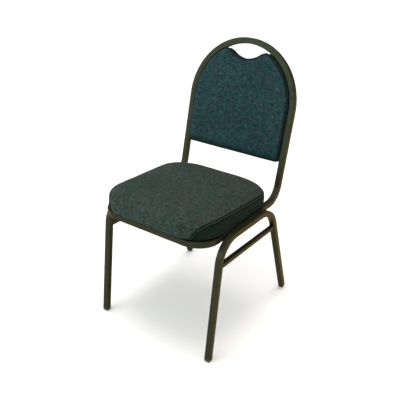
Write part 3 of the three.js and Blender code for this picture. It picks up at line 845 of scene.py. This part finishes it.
def cushion_body():
    """Flat base, upright sides, then a crown that rolls over to a flat top."""
    skin = SWELL
    layers = []
    for k in range(4):
        angle = math.radians(90) * k / 3
        inset = skin + BASE_ROUNDING * (1 - math.sin(angle))
        height = CUSHION_BASE + BASE_ROUNDING * (1 - math.cos(angle))
        layers.append(cushion_layer(inset, inset, inset, height, 0))
    side_start = CUSHION_BASE + BASE_ROUNDING
    for share in (0.35, 0.7, 1.0):
        height = side_start + (CUSHION_SIDE - side_start) * share
        layers.append(cushion_layer(skin, skin, skin, height - skin * share, CUSHION_WEDGE * share))
    steps = 10
    for k in range(1, steps + 1):
        turn = CROWN_TURN * k / steps
        side, front, rear = (skin + run * (1 - math.cos(turn)) for run in CROWN_RUN)
        height = CUSHION_SIDE - skin + CUSHION_CROWN * math.sin(turn)
        layers.append(cushion_layer(side, front, rear, height, CUSHION_WEDGE))
    return loft("seat_cushion", layers, FABRIC)


def seam_corner():
    """The seam's path down the front right corner, in the ring's frame, from the side to the base."""
    stops = [(0.1986, 0.060, SEAM_HEIGHT), (0.1955, 0.036, 0.0605), (0.1890, 0.0185, 0.0590),
             (0.1830, 0.0040, 0.0560), (0.1770, -0.0085, 0.0520), (0.1710, -0.0160, 0.0460),
             (0.1655, -0.0205, 0.0380), (0.1600, -0.0246, 0.0290), (0.1555, -0.0275, 0.0200),
             (0.1520, -0.0295, 0.0110)]
    return [Vector(stop) for stop in stops]


def seam_path():
    """The boxing's seam: up the right front corner, round the side, rear and other side, and down."""
    down = seam_corner()
    plan = cushion_outline(0.0, 0.0, 0.0)
    rear = [p for p in plan if p.x > 0 and p.y > 0.09]
    right = [Vector((p.x, p.y, SEAM_HEIGHT + CUSHION_WEDGE * p.y / CUSHION_REAR)) for p in rear]
    half = list(reversed(down)) + right
    path = half + [Vector((-p.x, p.y, p.z)) for p in reversed(half)]
    return dense(path, 0.002)


def evened(points, passes=40):
    """A path with its corners smoothed, its ends kept."""
    for _ in range(passes):
        inner = [(a + b * 2 + c) / 4 for a, b, c in zip(points, points[1:], points[2:])]
        points = [points[0], *inner, points[-1]]
    return points


def surface_tree(piece):
    graph = bpy.context.evaluated_depsgraph_get()
    return BVHTree.FromObject(piece, graph)


def snapped(points, tree):
    """Each point moved to the surface, with the surface's normal there."""
    found = [tree.find_nearest(p) for p in points]
    return [hit[0] for hit in found], [hit[1] for hit in found]


def pull_in_seam(piece, path, width, depth):
    """Draws the padding in along a seam."""
    places = coordinates(piece.data)
    pull = depth * np.exp(-(nearest_gaps(places, np.array(path)) / width) ** 2)
    set_coordinates(piece.data, places - vertex_normals(piece.data) * pull[:, None])


def on_surface(tree, place, lift):
    """The point of a surface nearest to a place, lifted off it."""
    point, normal, _, _ = tree.find_nearest(place)
    return point + normal * lift


def welt(name, points, normals, tree, width, rise, material):
    """A flat strip of folded fabric along a seam, with painted shade in a crease along each side of it.
    """
    # Half of the cross-section, as shares of the width and of the rise: flat top, shoulder, crease
    half_shape = [(0.15, 1.0), (0.34, 0.8), (0.42, 0.25), (0.66, 0.22), (0.72, -0.9)]
    across_shape = [(-u, v) for u, v in reversed(half_shape)] + half_shape
    # The strips between those points that lie in the two creases and carry the painted shade, across the
    # whole width
    creases = (0, 1, 2, 6, 7, 8)
    vertices, faces = [], []
    for k, (point, normal) in enumerate(zip(points, normals)):
        way = (points[min(k + 1, len(points) - 1)] - points[max(k - 1, 0)]).normalized()
        across = way.cross(normal).normalized()
        vertices.extend(on_surface(tree, point + across * width * u, rise * v) for u, v in across_shape)
    count = len(across_shape)
    for k in range(len(points) - 1):
        for i in range(count - 1):
            a = k * count + i
            faces.append((a, a + 1, a + 1 + count, a + count))
    faces.append(tuple(range(count)))
    last = (len(points) - 1) * count
    faces.append(tuple(reversed(range(last, last + count))))
    for k in range(len(points) - 1):
        a = k * count
        faces.append((a + count - 1, a, a + count, a + 2 * count - 1))
    strip = make_piece(name, vertices, faces, material)
    strip.data.materials.append(CREASE_SHADE_FABRIC)
    for face in strip.data.polygons[:(len(points) - 1) * (count - 1)]:
        face.material_index = 1 if face.index % (count - 1) in creases else 0
    return strip


def stitches(name, points, normals, tree, offset, material):
    """A row of short rounded threads beside a seam, on the surface."""
    vertices, faces = [], []
    sides = 6
    travelled = 0.0
    for a, b, normal in zip(points, points[1:], normals):
        travelled += (b - a).length
        if travelled < STITCH_PITCH:
            continue
        travelled = 0.0
        way = (b - a).normalized()
        across = way.cross(normal).normalized()
        centre = on_surface(tree, a + across * offset, STITCH_LIFT)
        base = len(vertices)
        for along, girth in ((-0.5, 0.35), (-0.32, 1.0), (0.32, 1.0), (0.5, 0.35)):
            for i in range(sides):
                angle = math.tau * i / sides
                spoke = across * math.cos(angle) + normal * math.sin(angle)
                vertices.append(centre + way * STITCH_LENGTH * along + spoke * STITCH_RADIUS * girth)
        for ring in range(3):
            for i in range(sides):
                p, q = base + ring * sides + i, base + ring * sides + (i + 1) % sides
                faces.append((p, q, q + sides, p + sides))
        faces.append(tuple(range(base + sides - 1, base - 1, -1)))
        faces.append(tuple(range(base + 3 * sides, base + 4 * sides)))
    return make_piece(name, vertices, faces, material)


def settle(piece, height, scale, seed):
    """Gentle unevenness of a used pad."""
    places = coordinates(piece.data)
    lift = np.array([noise.noise(Vector(p) * scale + Vector((seed, 0, 0))) for p in places])
    set_coordinates(piece.data, places + vertex_normals(piece.data) * (height * lift)[:, None])


def rest_on_base(piece):
    """Keeps the cushion's underside flat on the ring."""
    local = in_frame(coordinates(piece.data), SEAT_FRAME.inverted())
    local[:, 2] = np.maximum(local[:, 2], CUSHION_BASE)
    set_coordinates(piece.data, in_frame(local, SEAT_FRAME))


def mark_shaded_boxing(piece, path):
    """Gives the faces below the seam the boxing's fabric: its weave turned, and darkened to paint the
    shade on the cushion's sides.
    """
    piece.data.materials.append(SHADED_BOXING_FABRIC)
    to_seat = SEAT_FRAME.inverted()
    line = np.array([to_seat @ p for p in path])
    for face in piece.data.polygons:
        centre = to_seat @ face.center
        nearest = np.hypot(line[:, 0] - centre.x, line[:, 1] - centre.y).argmin()
        in_front = centre.y < line[0, 1] or (abs(centre.x) < line[0, 0] and centre.y < SEAM_FRONT)
        if centre.z < line[nearest, 2] and not in_front:
            face.material_index = 1


def mark_base_shade(piece):
    """Paints shade on the strip of cover that tucks in behind the ring, with the boxing's darkened
    fabric.
    """
    to_seat = SEAT_FRAME.inverted()
    for face in piece.data.polygons:
        if (to_seat @ face.center).z < CUSHION_BASE + BASE_SHADE_STRIP:
            face.material_index = 1


def build_seat():
    cushion = cushion_body()

    def held(point):
        local = SEAT_FRAME.inverted() @ Vector(point)
        return local.z < CUSHION_BASE + HELD_STRIP

    inflate(cushion, voxel=0.005, held=held)
    settle(cushion, height=0.0012, scale=9.0, seed=3.1)
    path, _ = snapped([SEAT_FRAME @ p for p in evened(seam_path())], surface_tree(cushion))
    pull_in_seam(cushion, path, *SEAM_HOLLOW)
    pull_in_seam(cushion, path, *SEAM_GROOVE)
    rest_on_base(cushion)
    tree = surface_tree(cushion)
    line, normals = snapped(path, tree)
    mark_shaded_boxing(cushion, line)
    mark_base_shade(cushion)
    welt("seat_seam_welt", line, normals, tree, WELT_WIDTH, WELT_RISE, WELT_FABRIC)
    for side, offset in (("upper", -STITCH_ROW), ("lower", STITCH_ROW)):
        stitches(f"seat_{side}_stitching", line, normals, tree, offset, THREAD_FABRIC)
    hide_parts("seat_cover", "seat_foam", "seat_board")


# ---- Back panel -------------------------------------------------------------------------------------

def hand_hold_edge(inset):
    """Right half of the hand-hold's edge, from its ear on the side to the middle of its floor."""
    half = LOOP_HALF_WIDTH - HALF_TUBE - PANEL_GAP - inset
    rise = HOOP_ARC_RISE - HALF_TUBE - PANEL_GAP - inset
    bowl = HAND_HOLD_RADIUS + inset
    centre = HAND_HOLD_FLOOR + HAND_HOLD_RADIUS
    turn = math.asin(HAND_HOLD_ARC_HALF / bowl)
    ear = math.acos((HAND_HOLD_EAR - inset) / half)
    tip = Vector((HAND_HOLD_EAR - inset, HOOP_ARC_BASE + rise * math.sin(ear)))
    end = Vector((HAND_HOLD_ARC_HALF, centre - bowl * math.cos(turn)))
    shoulder = end + Vector((HAND_HOLD_FLARE, HAND_HOLD_FLARE * math.tan(turn)))
    run = []
    for k in range(9):
        u = k / 8
        run.append(tip * (1 - u) ** 2 + shoulder * 2 * u * (1 - u) + end * u ** 2)
    start = turn - math.pi / 2
    return run + corner_arc(0, centre, bowl, start, -math.pi / 2 - start, 12)[1:], ear


def panel_outline(inset, lower_corner=PANEL_CORNER):
    """The panel seen from the front, anticlockwise, pulled in by an inset from its full size."""
    half = LOOP_HALF_WIDTH - HALF_TUBE - PANEL_GAP - inset
    rise = HOOP_ARC_RISE - HALF_TUBE - PANEL_GAP - inset
    corner = max(lower_corner - inset, 0.001)
    bottom = PANEL_BOTTOM + inset
    notch, ear = hand_hold_edge(inset)
    right = [Vector((0, bottom))]
    right += corner_arc(half - corner, bottom + corner, corner, -math.pi / 2, math.pi / 2, 6)
    steps = 24
    right += [Vector((half * math.cos(ear * k / steps), HOOP_ARC_BASE + rise * math.sin(ear * k / steps)))
              for k in range(steps)]
    right += notch
    left = [Vector((-p.x, p.y)) for p in reversed(right[1:-1])]
    return right + left


def panel_layer(inset, depth):
    return [BACK_FRAME @ Vector((p.x, depth, p.y)) for p in panel_outline(inset, PAD_CORNER)]


def pad_body(name, face, back, rounding, skin):
    """A slab of the panel's outline, from its flat back to a face whose edge is rolled over."""
    bevel = 0.0015
    layers = [panel_layer(skin + bevel, back), panel_layer(skin, back - bevel)]
    way = -1 if face < back else 1
    steps = 5
    for k in range(steps + 1):
        angle = math.pi / 2 * k / steps
        inset = skin + rounding * (1 - math.cos(angle))
        depth = face - way * rounding * (1 - math.sin(angle))
        layers.append(panel_layer(inset, depth))
    return loft(name, layers, BACK_FABRIC)


def crown(piece, direction, height, run):
    """Swells one face of a panel towards its middle."""
    outline = np.array([tuple(p) for p in dense(panel_outline(0.0), 0.006)])
    places = coordinates(piece.data)
    push = np.array(BACK_FRAME.to_3x3() @ Vector((0, direction, 0)))
    facing = np.maximum(vertex_normals(piece.data) @ push, 0)
    plan = in_frame(places, BACK_FRAME.inverted())[:, [0, 2]]
    share = np.minimum(nearest_gaps(plan, outline) / run, 1)
    swell = height * facing * (1 - (1 - share) ** 2)
    set_coordinates(piece.data, places + push * swell[:, None])


def mark_rim_shade(piece, facing, least):
    """Paints shade on the rolled-over edge of a panel, with a darker copy of its fabric."""
    piece.data.materials.append(RIM_SHADE_FABRIC)
    for face in piece.data.polygons:
        if face.normal.dot(facing) < least:
            face.material_index = 1


def bind_hand_hold():
    """A rounded binding along the hand-hold's edge, its ends tucked in behind the panel's ears."""
    edge = [p for p in panel_outline(0.0)
            if p.y > HAND_HOLD_FLOOR - 0.001 and abs(p.x) < HAND_HOLD_EAR + BINDING_TAIL]
    tail = max(abs(p.x) for p in edge) - HAND_HOLD_EAR
    path = []
    inwards, back, down = BINDING_TUCK
    for p in edge:
        past_ear = max(abs(p.x) - HAND_HOLD_EAR, 0) / tail
        depth = PANEL_FRONT + BINDING_DEPTH + back * past_ear
        rise = p.y - BINDING_INSET - down * past_ear
        path.append(BACK_FRAME @ Vector((p.x * (1 - inwards * past_ear), depth, rise)))
    path = dense(path, 0.003)
    ways = [(b - a).normalized() for a, b in zip(path, path[1:])]
    # The binding is given the rim's darker copy of the tweed, the one that paints shade on the rim.
    sweep("hand_hold_binding", list(zip(path, ways + ways[-1:])), round_section(BINDING_RADIUS, 8),
          Vector((0, 0, 1)), RIM_SHADE_FABRIC)


def build_back():
    pad = pad_body("back_pad", PANEL_FRONT + MOST_SWELL, REAR_COVER_FRONT, PAD_ROUNDING, SWELL)

    def held(point):
        local = BACK_FRAME.inverted() @ Vector(point)
        return local.y > PAD_REAR - HELD_STRIP

    inflate(pad, voxel=0.0045, held=held)
    crown(pad, direction=-1, height=0.003, run=0.07)
    settle(pad, height=0.0008, scale=11.0, seed=7.7)
    mark_rim_shade(pad, BACK_FRAME.to_3x3() @ Vector((0, -1, 0)), RIM_FACING)
    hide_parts("back_front_cover", "back_foam", "back_board")

    rear = pad_body("back_rear_pad", PANEL_REAR, REAR_COVER_FRONT, REAR_PAD_ROUNDING, 0.0)
    remesh_evenly(rear, voxel=0.0025)
    crown(rear, direction=1, height=0.0015, run=0.05)
    settle(rear, height=0.0005, scale=14.0, seed=1.9)
    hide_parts("back_rear_cover")

    bind_hand_hold()


build_seat()
build_back()


# ---- Floor and lights -------------------------------------------------------------------------------

SUN_COLOUR = (1.0, 0.94, 0.86)
SOFTBOX_TEAL = (0.52, 0.97, 1.0)
SIDE_AMBER = (1.0, 0.55, 0.14)


def add_floor():
    floor_material = Shader("floor", Roughness=0.9)
    floor_material.colour(floor_material.ramp(floor_material.noise(0.6, 2), [
        (0.3, (0.86, 0.86, 0.885)),
        (0.7, (0.87, 0.87, 0.895)),
    ]))
    mesh = bpy.data.meshes.new("floor")
    half = FLOOR_SIZE / 2
    corners = [(-half, -half, 0), (half, -half, 0), (half, half, 0), (-half, half, 0)]
    mesh.from_pydata(corners, [], [(0, 1, 2, 3)])
    mesh.materials.append(floor_material.material)
    floor = bpy.data.objects.new("floor", mesh)
    SCENE.collection.objects.link(floor)


def add_area(name, place, target, size, power, colour):
    data = bpy.data.lights.new(name, "AREA")
    data.shape = "RECTANGLE"
    data.size, data.size_y = size
    data.energy = power
    data.color = colour
    light = bpy.data.objects.new(name, data)
    light.location = place
    light.visible_camera = False
    light.rotation_euler = (Vector(target) - Vector(place)).to_track_quat("-Z", "Y").to_euler()
    SCENE.collection.objects.link(light)


def add_sun(name, towards, strength, angle, colour):
    """A broad, even light. towards points from the chair to it."""
    data = bpy.data.lights.new(name, "SUN")
    data.energy = strength
    data.angle = angle
    data.color = colour
    light = bpy.data.objects.new(name, data)
    light.rotation_euler = Vector(towards).to_track_quat("Z", "Y").to_euler()
    SCENE.collection.objects.link(light)


def add_light():
    world = bpy.data.worlds.new("studio")
    world.use_nodes = True
    background = world.node_tree.nodes["Background"]
    background.inputs["Color"].default_value = (0.95, 0.98, 1.0, 1)
    background.inputs["Strength"].default_value = 0.36
    SCENE.world = world
    add_sun("overhead", (-0.04, -0.06, 1.0), 1.2, math.radians(24), SUN_COLOUR)
    add_sun("dome", (-0.22, -0.30, 0.93), 2.7, math.radians(120), SUN_COLOUR)
    add_area("softbox", (-1.5, -2.7, 1.35), (0, 0, 0.6), size=(2.4, 2.0), power=34, colour=SOFTBOX_TEAL)
    add_area("warm", (3.0, 0.2, 0.9), (0, 0, 0.5), size=(0.8, 1.6), power=13, colour=SIDE_AMBER)


add_floor()
add_light()
